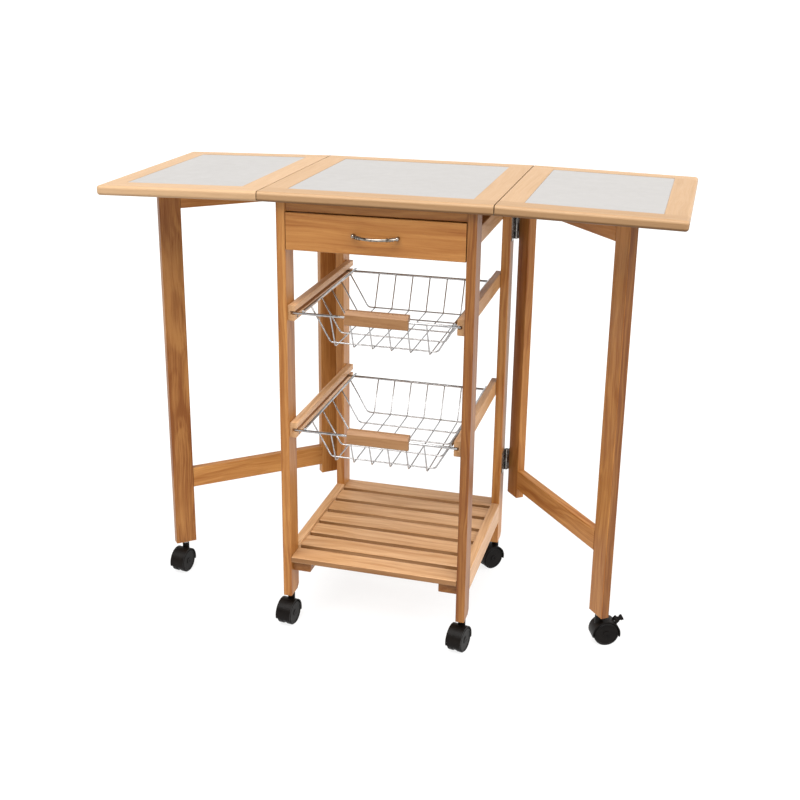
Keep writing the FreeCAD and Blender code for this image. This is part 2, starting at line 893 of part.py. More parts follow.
def gate(name, side):
    leg_u = D.gate_len - D.gate_leg_wide
    b = board(D.gate_leg_wide, D.gate_thick, D.gate_leg_top - D.leg_foot, "z")
    bore(b, D.gate_leg_wide / 2, D.gate_thick / 2, D.stem_rad, 41)
    b.Placement = gate_spot(side, leg_u, D.leg_foot)
    node(b, name + "_leg")
    b = board(D.stile_wide, D.gate_thick, D.gate_top - D.stile_foot, "z")
    b.Placement = gate_spot(side, D.stile_in, D.stile_foot)
    node(b, name + "_stile")
    rails = []
    u0 = D.stile_in + D.stile_wide
    for z, high in (
        (D.gate_rail_top_z, D.gate_rail_top_high),
        (D.gate_rail_low_z, D.gate_rail_low_high),
    ):
        b = board(leg_u - u0, D.gate_thick, high, "x")
        b.Placement = gate_spot(side, u0, z)
        rails.append(b)
    group(name + "_rails", rails)
    # moving hinge plates on the stile's edge, one knuckle each, between the
    # fixed knuckles
    plates = []
    third = v(D.gate_hinge_high) * 12 / 38
    for z in (v(D.gate_hinge_low_z), v(D.gate_hinge_up_z)):
        z1 = z + v(D.gate_hinge_high)
        a, e = D.stile_in - D.plate_thick, D.stile_in
        w0, w1 = v(D.gate_knuckle) + 0.6, v(D.gate_off) + v(D.gate_thick) - 1
        lo, hi = (w0, w1) if side > 0 else (-w1, -w0)
        plate = box(a, e, lo, hi, z, z1)
        lo, hi = (0, w0 + 0.4) if side > 0 else (-w0 - 0.4, 0)
        tab = box(a, e, lo, hi, z + third + 0.3, z1 - third - 0.3)
        barrel = rod((0, 0, z + third + 0.3), (0, 0, z1 - third - 0.3), D.gate_knuckle)
        hole = rod((0, 0, z - 1), (0, 0, z1 + 1), D.gate_pin + D.running)
        plates.append(cut(fuse([plate, tab, barrel]), hole))
    c = group(name + "_hinge_plates", plates)
    c.Placement = gate_frame(side)


def stem(placement):
    """A caster stem: a spigot for the caster, a collar, a shank in the leg."""
    foot = v(D.leg_foot)
    s = fuse(
        [
            rod((0, 0, 42.6), (0, 0, foot - 2.5), D.spigot_rad),
            rod((0, 0, foot - 3), (0, 0, foot), D.collar_rad),
            rod((0, 0, foot - 1), (0, 0, foot + 40), D.stem_rad),
        ]
    )
    s.Placement = placement
    return s


def gate_foot(side):
    """Where the gate's caster stem stands."""
    w = v(D.gate_off) + v(D.gate_thick) / 2
    u = v(D.gate_len) - v(D.gate_leg_wide) / 2
    return gate_frame(side).multVec(Vector(u, w * side, 0))


for name, side in (("gate_left", -1), ("gate_right", 1)):
    gate(name, side)
    node(stem(Placement(gate_foot(side), Rotation())), name + "_caster_stem")

feet = {
    "front_left": Vector(-v(D.leg_out) + v(D.leg_thick) / 2, v(FRONT_LEG_Y) + YS, 0),
    "front_right": Vector(v(D.leg_out) - v(D.leg_thick) / 2, v(FRONT_LEG_Y) + YS, 0),
    "rear_left": Vector(-v(D.leg_out) + v(D.leg_thick) / 2, v(REAR_LEG_Y) + YS, 0),
    "rear_right": Vector(v(D.leg_out) - v(D.leg_thick) / 2, v(REAR_LEG_Y) + YS, 0),
    "gate_left": gate_foot(-1),
    "gate_right": gate_foot(1),
}
group(
    "caster_stems_frame",
    [
        stem(Placement(feet[k], Rotation()))
        for k in ("front_left", "front_right", "rear_left", "rear_right")
    ],
)

# --------------------------------------------------------------- fixed hinges
fixed = []
third = v(D.gate_hinge_high) * 12 / 38
for s in (-1, 1):
    px, py = s * v(D.pin_x), v(D.pin_y)
    a, e = v(D.leg_out), v(D.leg_out) + v(D.plate_thick)
    lo, hi = (a, e) if s > 0 else (-e, -a)
    for z in (v(D.gate_hinge_low_z), v(D.gate_hinge_up_z)):
        z1 = z + v(D.gate_hinge_high)
        parts = [box(lo, hi, py - 25, py - 4.0, z, z1)]
        for k0, k1 in ((z, z + third), (z1 - third, z1)):
            parts.append(box(lo, hi, py - 4.4, py, k0, k1))
            parts.append(rod((px, py, k0), (px, py, k1), D.gate_knuckle))
        parts.append(rod((px, py, z - 0.6), (px, py, z1 + 0.6), D.gate_pin))
        fixed.append(fuse(parts))
c = group("gate_hinge_frame_leaves", fixed)
c.Placement = SHIFT

still, moving = [], {-1: [], 1: []}
under = v(UNDER)
wide = v(D.leaf_hinge_wide)
third = wide * 11 / 36
for s in (-1, 1):
    px = s * (v(D.top_half) + v(D.seam) / 2)

    def span(a, b):
        return (s * a, s * b) if s > 0 else (s * b, s * a)

    ax = abs(px)
    low = under - v(D.leaf_plate)
    for mid in (-105.0, 105.0):
        y0, y1 = mid - wide / 2, mid + wide / 2
        parts = [box(*span(ax - 24, ax - 2.8), y0, y1, low, under)]
        for k0, k1 in ((y0, y0 + third), (y1 - third, y1)):
            parts.append(box(*span(ax - 3.2, ax), k0, k1, low, under))
            parts.append(rod((px, k0, under), (px, k1, under), D.leaf_knuckle))
        parts.append(rod((px, y0 - 0.5, under), (px, y1 + 0.5, under), D.leaf_pin))
        still.append(fuse(parts))
        k0, k1 = y0 + third + 0.3, y1 - third - 0.3
        body = fuse(
            [
                box(*span(ax + 2.8, ax + 23), y0, y1, low, under),
                box(*span(ax, ax + 3.2), k0, k1, low, under),
                rod((px, k0, under), (px, k1, under), D.leaf_knuckle),
            ]
        )
        hole = rod((px, y0 - 1, under), (px, y1 + 1, under), D.leaf_pin + D.running)
        moving[s].append(cut(body, hole))
c = group("leaf_hinge_frame_leaves", still)
c.Placement = SHIFT
for s, name in ((-1, "leaf_left"), (1, "leaf_right")):
    c = group(name + "_hinge_plates", moving[s])
    c.Placement = lean(s).multiply(SHIFT)


# ------------------------------------------------------------------- casters
def wheel(side):
    """One wheel of a twin-wheel caster, turned about the axle along Y."""
    import Sketcher

    body = doc.addObject("PartDesign::Body", fresh("Wheel"))
    r, a = D.wheel_rad, D.axle_rad
    pts = [
        (a, 3.1),
        (r - 1.2, 3.1),
        (r, 4.3),
        (r, 11.5),
        (r - 2.0, 13.5),
        (r - 3.2, 13.5),
        (r - 4.0, 12.7),
        (a + 3.5, 12.7),
        (a + 3.5, 13.5),
        (a, 13.5),
    ]
    sk = outline(body, "XY_Plane", pts)
    rev = body.newObject("PartDesign::Revolution", fresh("Turn"))
    rev.Profile = sk
    rev.ReferenceAxis = (sk, ["V_Axis"])
    rev.Angle = 360
    doc.recompute()
    turn = Rotation() if side > 0 else Rotation(Vector(0, 0, 1), 180)
    body.Placement = Placement(Vector(v(D.trail), 0, v(D.wheel_rad)), turn)
    return body


def caster(name, azimuth, brake=False):
    """A swivel caster at a foot; azimuth is the way its wheels trail."""
    place = Placement(feet[name], Rotation(Vector(0, 0, 1), azimuth))
    tr, zc = v(D.trail), v(D.wheel_rad)
    hw = v(D.hood_half)
    drum = rod((tr, -hw, zc), (tr, hw, zc), D.hood_rad)
    boss = rod((0, 0, 33), (0, 0, v(D.boss_top)), D.boss_rad)
    wells = [
        rod((tr, y0, zc), (tr, y1, zc), D.well_rad)
        for y0, y1 in ((2.5, hw + 5), (-hw - 5, -2.5))
    ]
    below = box(-60, 80, -40, 40, -20, zc - 5)
    shell = cut(fuse([drum, boss]), fuse(wells + [below]))
    web = rod((tr, -2.5, zc), (tr, 2.5, zc), D.wheel_rad - 1.2)
    pieces = [shell, web]
    turn = math.radians(48)
    pin = v(D.hood_rad) + 3.6
    px, pz = tr + pin * math.cos(turn), zc + pin * math.sin(turn)
    if brake:
        for s in (-1, 1):
            lo, hi = (5.4, 7.6) if s > 0 else (-7.6, -5.4)
            root = Vector(px - 4.8 * math.cos(turn), 0, pz - 4.8 * math.sin(turn))
            lug = slab(
                0, 8.4, lo, hi, -2.4, 2.4, Placement(root, Rotation(Vector(0, -1, 0), 48))
            )
            pieces.append(lug)
        pieces.append(rod((px, -7.6, pz), (px, 7.6, pz), 1.1))
    housing = cut(
        fuse(pieces),
        fuse(
            [
                rod((tr, -4, zc), (tr, 4, zc), D.axle_rad + D.running),
                rod((0, 0, 42.2), (0, 0, 70), D.spigot_rad + D.running),
            ]
        ),
    )
    housing.Placement = place
    node(housing, "caster_%s_housing" % name)
    axle = rod((tr, -13.1, zc), (tr, 13.1, zc), D.axle_rad)
    c = group("caster_%s_wheels" % name, [wheel(1), wheel(-1), axle])
    c.Placement = place
    if brake:
        out = Placement(Vector(px, 0, pz), Rotation(Vector(0, -1, 0), 20))
        arm = slab(1, 11.5, -4.2, 4.2, -1.5, 1.5, out)
        pad = slab(7.5, 12, -6.0, 6.0, -1.5, 2.4, out)
        barrel = rod((px, -5.0, pz), (px, 5.0, pz), 2.4)
        hole = rod((px, -9, pz), (px, 9, pz), 1.1 + v(D.running))
        lever = cut(fuse([arm, pad, barrel]), hole)
        lever.Placement = place
        node(lever, "caster_brake_lever")


caster("front_left", -97)
caster("front_right", -102)
caster("rear_left", -100)
caster("rear_right", -132)
caster("gate_left", -97)
caster("gate_right", 22, brake=True)

# --------------------------------------------------------------- check, write
doc.recompute()
wrong = []
for obj in doc.Objects:
    if "Invalid" in obj.State or "Error" in obj.State:
        wrong.append("%s: %s" % (obj.Label, obj.State))
for label, obj in NODES:
    s = obj.Shape
    if s.isNull() or not s.isValid() or not s.Solids:
        wrong.append("%s has no sound shape" % label)
if wrong:
    raise ValueError("; ".join(wrong))
os.makedirs("parts", exist_ok=True)
for label, obj in NODES:
    obj.Shape.exportStep("parts/%s.step" % label)
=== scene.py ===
import math
import random

import bmesh
import bpy
import numpy as np
from mathutils import Matrix, Vector


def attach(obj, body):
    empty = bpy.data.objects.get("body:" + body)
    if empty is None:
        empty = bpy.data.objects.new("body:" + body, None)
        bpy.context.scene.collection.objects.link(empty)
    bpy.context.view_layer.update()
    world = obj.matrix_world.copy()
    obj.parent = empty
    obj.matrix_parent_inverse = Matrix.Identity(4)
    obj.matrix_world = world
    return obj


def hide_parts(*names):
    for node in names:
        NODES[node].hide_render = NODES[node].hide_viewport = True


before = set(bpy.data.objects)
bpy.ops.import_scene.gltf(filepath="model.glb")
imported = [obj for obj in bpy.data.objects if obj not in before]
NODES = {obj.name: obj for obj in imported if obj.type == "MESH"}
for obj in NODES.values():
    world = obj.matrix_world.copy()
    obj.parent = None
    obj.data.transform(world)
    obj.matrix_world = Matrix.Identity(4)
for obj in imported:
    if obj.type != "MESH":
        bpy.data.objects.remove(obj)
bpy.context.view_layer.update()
scene = bpy.context.scene

# Metres. +X right, +Y back, +Z up, floor at Z = 0.
SHIFT = 0.00425
X, Y, Z = Vector((1, 0, 0)), Vector((0, 1, 0)), Vector((0, 0, 1))
PIN = (0.1632, 0.16455)
GATE = {"right": math.radians(39 - 90), "left": math.radians(-90 - 49)}


# ------------------------------------------------------------------ shader kit
class Tree:
    """A small wrapper that makes node trees readable."""

    def __init__(self, name):
        self.mat = bpy.data.materials.new(name)
        self.mat.use_nodes = True
        self.nt = self.mat.node_tree
        self.nt.nodes.clear()
        self.out = self.nt.nodes.new("ShaderNodeOutputMaterial")
        self.bsdf = self.nt.nodes.new("ShaderNodeBsdfPrincipled")
        self.nt.links.new(self.bsdf.outputs["BSDF"], self.out.inputs["Surface"])

    def put(self, socket, value):
        if isinstance(value, bpy.types.NodeSocket):
            self.nt.links.new(value, socket)
        elif value is not None:
            if socket.type == "RGBA" and len(value) == 3:
                value = (*value, 1.0)
            socket.default_value = value

    def set(self, **values):
        for key, value in values.items():
            self.put(self.bsdf.inputs[key.replace("_", " ")], value)

    def attr(self, name, kind="Vector"):
        n = self.nt.nodes.new("ShaderNodeAttribute")
        n.attribute_name = name
        return n.outputs[kind]

    def pos(self):
        n = self.nt.nodes.new("ShaderNodeTexCoord")
        return n.outputs["Object"]

    def math(self, op, a, b=None, c=None, clamp=False):
        n = self.nt.nodes.new("ShaderNodeMath")
        n.operation = op
        n.use_clamp = clamp
        for i, value in enumerate((a, b, c)):
            if value is not None:
                self.put(n.inputs[i], value)
        return n.outputs[0]

    def vec(self, op, a, b=None):
        n = self.nt.nodes.new("ShaderNodeVectorMath")
        n.operation = op
        self.put(n.inputs[0], a)
        if b is not None:
            self.put(n.inputs[1], b)
        return n.outputs["Value" if op in ("LENGTH", "DOT_PRODUCT") else "Vector"]

    def split(self, v):
        n = self.nt.nodes.new("ShaderNodeSeparateXYZ")
        self.put(n.inputs[0], v)
        return n.outputs

    def join(self, a, b, c):
        n = self.nt.nodes.new("ShaderNodeCombineXYZ")
        for i, value in enumerate((a, b, c)):
            self.put(n.inputs[i], value)
        return n.outputs[0]

    def noise(self, v, scale, detail=3.0, rough=0.55, distort=0.0, colour=False):
        n = self.nt.nodes.new("ShaderNodeTexNoise")
        self.put(n.inputs["Vector"], v)
        n.inputs["Scale"].default_value = scale
        n.inputs["Detail"].default_value = detail
        n.inputs["Roughness"].default_value = rough
        n.inputs["Distortion"].default_value = distort
        return n.outputs["Color" if colour else "Fac"]

    def cells(self, v, scale, out="Distance", feature="F1"):
        n = self.nt.nodes.new("ShaderNodeTexVoronoi")
        n.feature = feature
        self.put(n.inputs["Vector"], v)
        n.inputs["Scale"].default_value = scale
        return n.outputs[out]

    def ramp(self, fac, *stops, ease="EASE"):
        n = self.nt.nodes.new("ShaderNodeValToRGB")
        n.color_ramp.interpolation = ease
        el = n.color_ramp.elements
        while len(el) < len(stops):
            el.new(0.5)
        for e, (at, col) in zip(el, stops):
            e.position = at
            if not isinstance(col, (tuple, list)):
                col = (col, col, col)
            e.color = (*col, 1.0)
        self.put(n.inputs[0], fac)
        return n.outputs["Color"]

    def span(self, value, a, b, lo, hi):
        n = self.nt.nodes.new("ShaderNodeMapRange")
        for i, x in enumerate((value, a, b, lo, hi)):
            self.put(n.inputs[i], x)
        return n.outputs[0]

    def mix(self, fac, a, b, blend="MIX"):
        n = self.nt.nodes.new("ShaderNodeMix")
        n.data_type = "RGBA"
        n.blend_type = blend
        self.put(n.inputs["Factor"], fac)
        self.put(n.inputs[6], a)
        self.put(n.inputs[7], b)
        return n.outputs[2]

    def bump(self, height, strength, distance):
        n = self.nt.nodes.new("ShaderNodeBump")
        n.inputs["Strength"].default_value = strength
        n.inputs["Distance"].default_value = distance
        self.put(n.inputs["Height"], height)
        self.put(self.bsdf.inputs["Normal"], n.outputs["Normal"])
        return n.outputs["Normal"]


# ------------------------------------------------------------------- materials
def pine(name, light, deep, streak, rings=1.0, rough=0.42, gloss=0.30):
    """Lacquered softwood. wood_co holds (along the grain, and two distances
    from the pith) for each board, the tone attribute how light the board is,
    less where painted shade darkens edges and undersides, wood_figure how
    strong its figure and wood_end where the grain is cut across."""
    t = Tree(name)
    co = t.attr("wood_co")
    tone = t.attr("wood_tone_and_shade", "Fac")
    end = t.attr("wood_end", "Fac")
    figure = t.attr("wood_figure", "Fac")
    g, a, b = t.split(co)[:3]
    # the trunk is not quite straight, so the rings wander along the board
    slow = t.join(t.math("MULTIPLY", g, 3.6), t.math("MULTIPLY", a, 9.0), t.math("MULTIPLY", b, 9.0))
    wander = t.noise(slow, 1.0, 3.0, 0.5, colour=True)
    w = t.split(t.vec("SUBTRACT", wander, (0.5, 0.5, 0.5)))
    a2 = t.math("MULTIPLY_ADD", w[0], 0.030, a)
    b2 = t.math("MULTIPLY_ADD", w[1], 0.030, b)
    r = t.math("SQRT", t.math("ADD", t.math("MULTIPLY", a2, a2), t.math("MULTIPLY", b2, b2)))
    # rings of uneven width: dark late wood ends sharply, pale early wood fades in
    band = t.noise(t.join(t.math("MULTIPLY", r, 230.0), t.math("MULTIPLY", g, 2.5), 0.0), 1.0, 2.0, 0.5)
    ring = t.ramp(band, (0.34, 0.0), (0.56, 0.55), (0.66, 1.0), (0.72, 0.35))
    # fibres, and broader stripes that come and go along the board
    fine = t.join(t.math("MULTIPLY", g, 9.0), t.math("MULTIPLY", a2, 360.0), t.math("MULTIPLY", b2, 360.0))
    fibre = t.noise(fine, 1.0, 4.0, 0.6)
    broad = t.noise(
        t.join(t.math("MULTIPLY", g, 3.2), t.math("MULTIPLY", a2, 95.0), t.math("MULTIPLY", b2, 95.0)), 1.0, 3.0, 0.5
    )
    cloud = t.noise(t.join(t.math("MULTIPLY", g, 11.0), t.math("MULTIPLY", a, 22.0), t.math("MULTIPLY", b, 22.0)), 1.0, 2.0)
    # pores: short dark dashes along the grain
    dash = t.cells(
        t.join(t.math("MULTIPLY", g, 55.0), t.math("MULTIPLY", a, 900.0), t.math("MULTIPLY", b, 900.0)), 1.0
    )
    pore = t.span(dash, 0.12, 0.30, 1.0, 0.0)
    line = t.math("MULTIPLY_ADD", ring, 0.55 * rings, t.span(fibre, 0.3, 0.7, -0.47, 0.03))
    f = t.math("MULTIPLY_ADD", line, figure, 0.5)
    f = t.math("MULTIPLY_ADD", t.span(broad, 0.3, 0.7, -0.5, 0.5), 0.36, f)
    f = t.math("MULTIPLY_ADD", t.math("SUBTRACT", cloud, 0.5), 0.28, f, clamp=True)
    col = t.ramp(f, (0.0, light), (0.5, tuple((p + q) / 2 for p, q in zip(light, deep))), (1.0, deep), ease="LINEAR")
    col = t.mix(t.span(broad, 0.55, 0.72, 0.0, 0.4), col, streak)
    col = t.mix(t.math("MULTIPLY", pore, 0.16), col, tuple(c * 0.45 for c in deep))
    # each board has its own tone, lowered by painted shade on its narrow edges and undersides, and cut ends soak up
    # more stain
    up = t.span(tone, -3.0, 1.0, 0.32, 1.16)
    col = t.mix(1.0, col, t.join(up, t.math("POWER", up, 1.22), t.math("POWER", up, 1.55)), "MULTIPLY")
    col = t.mix(t.math("MULTIPLY", end, 0.42), col, tuple(c * 0.5 for c in deep))
    t.set(
        Base_Color=col,
        Roughness=t.span(fibre, 0.25, 0.75, rough - 0.05, rough + 0.07),
        IOR=1.45,
        Specular_IOR_Level=gloss,
        Coat_Weight=0.08,
        Coat_Roughness=0.22,
        Coat_IOR=1.5,
    )
    height = t.math("SUBTRACT", t.math("MULTIPLY", fibre, 0.6), t.math("MULTIPLY", pore, 0.7))
    height = t.math("MULTIPLY_ADD", ring, 0.25, height)
    t.bump(height, 0.2, 0.0004)
    return t.mat


def pressed_board(name):
    t = Tree(name)
    co = t.attr("wood_co")
    g, a, b = t.split(co)[:3]
    fibre = t.noise(t.join(t.math("MULTIPLY", g, 9.0), t.math("MULTIPLY", a, 120.0), t.math("MULTIPLY", b, 120.0)), 1.0, 4.0)
    fleck = t.noise(t.join(t.math("MULTIPLY", g, 90.0), t.math("MULTIPLY", a, 260.0), t.math("MULTIPLY", b, 260.0)), 1.0, 3.0)
    f = t.math("ADD", t.math("MULTIPLY", fibre, 0.65), t.math("MULTIPLY", fleck, 0.35))
    col = t.ramp(f, (0.32, (0.50, 0.30, 0.15)), (0.52, (0.42, 0.24, 0.11)), (0.72, (0.30, 0.16, 0.07)))
    t.set(Base_Color=col, Roughness=t.span(fleck, 0.2, 0.8, 0.5, 0.7))
    t.bump(fleck, 0.2, 0.0003)
    return t.mat


def glazed_tile(name):
    t = Tree(name)
    p = t.pos()
    cloud = t.noise(p, 9.0, 4.0, 0.6)
    mottle = t.noise(p, 55.0, 3.0, 0.6)
    speck = t.cells(p, 420.0)
    f = t.math("ADD", t.math("MULTIPLY", cloud, 0.6), t.math("MULTIPLY", mottle, 0.4))
    col = t.ramp(f, (0.32, (0.340, 0.325, 0.311)), (0.5, (0.354, 0.339, 0.325)), (0.68, (0.368, 0.353, 0.339)))
    col = t.mix(t.math("MULTIPLY", t.span(speck, 0.10, 0.22, 1.0, 0.0), 0.03), col, (0.38, 0.36, 0.34))
    t.set(
        Base_Color=col,
        Roughness=t.span(mottle, 0.3, 0.7, 0.30, 0.38),
        IOR=1.5,
    )
    t.bump(t.noise(p, 40.0, 2.0, 0.5), 0.05, 0.0004)
    return t.mat


def chrome(name, low, high, rough=0.14):
    t = Tree(name)
    p = t.pos()
    smear = t.noise(p, 180.0, 3.0, 0.6)
    col = t.ramp(smear, (0.3, low), (0.7, high))
    t.set(Base_Color=col, Metallic=1.0, Roughness=t.span(smear, 0.3, 0.7, rough - 0.04, rough + 0.06))
    return t.mat


def plated_steel(name, low, high, rough):
    t = Tree(name)
    p = t.pos()
    brush = t.noise(t.vec("MULTIPLY", p, (1500.0, 1500.0, 60.0)), 1.0, 3.0)
    stain = t.noise(p, 260.0, 4.0, 0.6)
    f = t.math("ADD", t.math("MULTIPLY", brush, 0.3), t.math("MULTIPLY", stain, 0.7))
    col = t.ramp(f, (0.3, low), (0.7, high))
    t.set(Base_Color=col, Metallic=1.0, Roughness=t.span(brush, 0.3, 0.7, rough - 0.06, rough + 0.1))
    t.bump(brush, 0.12, 0.0002)
    return t.mat


def moulded_plastic(name, low, high, rough, grain, gloss=0.10):
    t = Tree(name)
    p = t.pos()
    skin = t.noise(p, grain, 3.0, 0.6)
    dust = t.noise(p, 60.0, 4.0, 0.65)
    col = t.ramp(dust, (0.35, low), (0.75, high))
    t.set(Base_Color=col, Roughness=t.span(skin, 0.3, 0.7, rough - 0.06, rough + 0.08), IOR=1.48, Specular_IOR_Level=gloss)
    t.bump(skin, 0.25, 0.0003)
    return t.mat


PINE = pine("lacquered_pine", (0.475, 0.222, 0.062), (0.262, 0.086, 0.013), (0.212, 0.060, 0.007))
PALE = pine("pale_lacquered_pine", (0.60, 0.360, 0.188), (0.415, 0.212, 0.084), (0.36, 0.172, 0.060))
RIM = pine("worktop_pine", (0.515, 0.337, 0.196), (0.443, 0.280, 0.150), (0.418, 0.254, 0.128), gloss=0.2)
BOARD = pressed_board("pressed_board")
TILE = glazed_tile("glazed_tile")
CHROME = chrome("chromed_wire", (0.36, 0.355, 0.355), (0.52, 0.515, 0.515))
PULL = chrome("chromed_pull", (0.15, 0.125, 0.10), (0.37, 0.335, 0.30), 0.08)
STEEL = plated_steel("zinc_plated_steel", (0.08, 0.076, 0.071), (0.44, 0.43, 0.415), 0.22)
BLACK = moulded_plastic("black_nylon", (0.0038, 0.0027, 0.0021), (0.0076, 0.0056, 0.0045), 0.38, 1400.0, 0.11)
WHEEL = moulded_plastic("black_wheel", (0.0032, 0.0024, 0.0020), (0.0064, 0.0050, 0.0042), 0.38, 900.0)


def dress(obj, mat):
    obj.data.materials.clear()
    obj.data.materials.append(mat)


# ------------------------------------------------------- grain for every board
def lay(obj, boards, seed, shade=0.0, spread=0.35, edge_shade=0.0, figure=1.0, under_shade=0.0):
    """Gives each board of a mesh its own wood coordinates. boards(centre) gives
    the board's number, its grain direction and the direction of its width.
    shade is how light the boards are, spread how far they differ, figure how
    strong their grain shows, and the edge and under amounts how much painted
    shade darkens the faces across the board's width and the faces turned
    down. shade may be a tuple, one for each board."""
    me = obj.data
    n = len(me.loops)
    co = np.zeros((len(me.vertices), 3))
    flat = np.zeros(len(me.vertices) * 3)
    me.vertices.foreach_get("co", flat)
    co[:] = flat.reshape(-1, 3)
    wood = np.zeros((n, 3), np.float32)
    tone = np.zeros(n, np.float32)
    end = np.zeros(n, np.float32)
    made = {}
    for poly in me.polygons:
        number, along, wide = boards(poly.center)
        if number not in made:
            rnd = random.Random("%s %d" % (seed, number))
            thick = along.cross(wide)
            basis = np.array([along, wide, thick], float)
            pith = np.array(
                [
                    rnd.uniform(-4, 4),
                    rnd.uniform(-0.05, 0.05),
                    rnd.choice((-1, 1)) * rnd.uniform(0.035, 0.10),
                ]
            )
            base = shade[number] if isinstance(shade, tuple) else shade
            made[number] = [basis, pith, base + spread * rnd.uniform(-1, 1), None]
        basis, pith, level, mid = made[number]
        if mid is None:
            mid = made[number][3] = np.array(poly.center, float)
        loops = list(poly.loop_indices)
        pts = co[[me.loops[i].vertex_index for i in loops]]
        wood[loops] = (pts - mid) @ basis.T + pith
        # painted shade: faces across the board's width are darkened by the edge amount
        tone[loops] = level - edge_shade * (abs(poly.normal.dot(Vector(basis[1]))) > 0.9)
        # painted shade: faces turned down are darkened by the under amount
        tone[loops] -= under_shade * min(1.0, max(0.0, 0.25 - poly.normal.z))
        end[loops] = 1.0 if abs(poly.normal.dot(Vector(basis[0]))) > 0.8 else 0.0
    for name, kind, data in (
        ("wood_co", "FLOAT_VECTOR", wood),
        ("wood_tone_and_shade", "FLOAT", tone),
        ("wood_end", "FLOAT", end),
        ("wood_figure", "FLOAT", np.full(n, figure, np.float32)),
    ):
        layer = me.attributes.new(name, kind, "CORNER")
        layer.data.foreach_set("vector" if kind == "FLOAT_VECTOR" else "value", data.ravel())


def one(along, wide):
    return lambda c: (0, along, wide)


def pair(along, wide):
    return lambda c: (0 if c.x < 0 else 1, along, wide)


def ring_of(x0, x1):
    """Four rails round a panel: front and back along X, sides along Y."""

    def boards(c):
        y = c.y - SHIFT
        if y < -0.1494:
            return 0, X, Y
        if y > 0.1534:
            return 1, X, Y
        return (2, Y, X) if c.x < (x0 + x1) / 2 else (3, Y, X)

    return boards


def slat(c):
    return int(round((c.y - SHIFT + 0.172 - 0.019) / 0.0497)), X, Y


def gate_axes(side):
    a = GATE[side]
    return Vector((math.cos(a), math.sin(a), 0))


WOODEN = {
    "top_frame_rails": ring_of(-0.1845, 0.1845),
    "leaf_left_frame_rails": ring_of(-0.4609, -0.1859),
    "leaf_right_frame_rails": ring_of(0.1859, 0.4609),
    "front_apron": one(X, Z),
    "back_apron": one(X, Z),
    "drawer_runners": pair(Y, Z),
    "basket_rails_upper": pair(Y, Z),
    "basket_rails_lower": pair(Y, Z),
    "shelf_side_rails": pair(Y, Z),
    "shelf_slats": slat,
    "shelf_bearers": pair(Y, X),
    "drawer_front": one(X, Z),
    "drawer_sides": pair(Y, Z),
    "drawer_back": one(X, Z),
    "upper_basket_grip": one(X, Z),
    "lower_basket_grip": one(X, Z),
}
for end in ("front", "rear"):
    for side in ("left", "right"):
        WOODEN["leg_%s_%s" % (end, side)] = one(Z, Y)
for side in ("left", "right"):
    u = gate_axes(side)
    WOODEN["gate_%s_leg" % side] = one(Z, u)
    WOODEN["gate_%s_stile" % side] = one(Z, u)
    WOODEN["gate_%s_rails" % side] = lambda c, u=u: (0 if c.z > 0.4 else 1, u, Z)
SHADE = {
    "leg_front_left": -0.35,
    "leg_front_right": -1.75,
    "leg_rear_left": 0.8,
    "leg_rear_right": 0.5,
    "gate_left_leg": -1.0,
    "gate_right_leg": -0.3,
    "gate_left_stile": 0.9,
    "gate_right_stile": -0.3,
    "gate_left_rails": 0.5,
    "gate_right_rails": 0.6,
    "front_apron": -0.6,
    "drawer_front": -0.25,
    "drawer_runners": 0.2,
    "shelf_slats": (-0.65, -0.2, -0.15, 0.2, 0.35, 0.2, 0.4),
    "shelf_bearers": (-1.2, -1.3),
    "leaf_right_frame_rails": (-0.7, 0.0, -0.1, -0.35),
    "top_frame_rails": (-0.4, 0.0, -0.1, -0.1),
    "leaf_left_frame_rails": (0.15, 0.1, 0.1, 0.1),
    "basket_rails_upper": (0.9, -0.4),
    "basket_rails_lower": (0.9, -0.4),
    "shelf_side_rails": 0.4,
    "upper_basket_grip": -2.3,
    "lower_basket_grip": -2.1,
}
FIGURE = {
    "top_frame_rails": 0.5,
    "leaf_left_frame_rails": 0.5,
    "leaf_right_frame_rails": 0.5,
    "drawer_front": 0.65,
    "front_apron": 0.7,
    "leg_front_right": 1.5,
    "shelf_slats": 1.3,
    "gate_left_leg": 2.0,
    "gate_right_leg": 1.4,
}
# painted shade on faces across the width: the dark gaps between the slats and the shaded edge strip of the right
# gate leg
EDGE_SHADE = {"shelf_slats": 1.8, "gate_right_leg": 2.1}
# painted shade on the downward faces of the worktop and leaf rails, under their noses
UNDER_SHADE = {"top_frame_rails": 3.6, "leaf_left_frame_rails": 1.2, "leaf_right_frame_rails": 3.8}
PALE_BOARDS = ("slats", "shelf_side_rails", "drawer_runners", "grip", "basket_rails_upper", "basket_rails_lower")
for node, boards in WOODEN.items():
    edge_shade = EDGE_SHADE.get(node, 0.0)
    under_shade = UNDER_SHADE.get(node, 0.0)
    shade = SHADE.get(node, 0.0)
    spread = 0.12 if under_shade or node == "shelf_slats" else 0.0 if node in SHADE else 0.25
    lay(NODES[node], boards, node, shade, spread, edge_shade, FIGURE.get(node, 1.0), under_shade)
    dress(NODES[node], RIM if under_shade else PALE if node.endswith(PALE_BOARDS) else PINE)
for node in ("top_backing_board", "leaf_left_backing_board", "leaf_right_backing_board", "drawer_bottom"):
    lay(NODES[node], one(Y, X), node)
    dress(NODES[node], BOARD)
for node in ("top_tile", "leaf_left_tile", "leaf_right_tile"):
    dress(NODES[node], TILE)
for node, obj in NODES.items():
    if node.endswith(("_housing", "brake_lever")):
        dress(obj, BLACK)
    elif node.endswith("_wheels"):
        dress(obj, WHEEL)
    elif node.endswith(("hinge_plates", "_leaves", "_stem", "stems_frame", "screws")):
        dress(obj, STEEL)
dress(NODES["drawer_handle"], PULL)


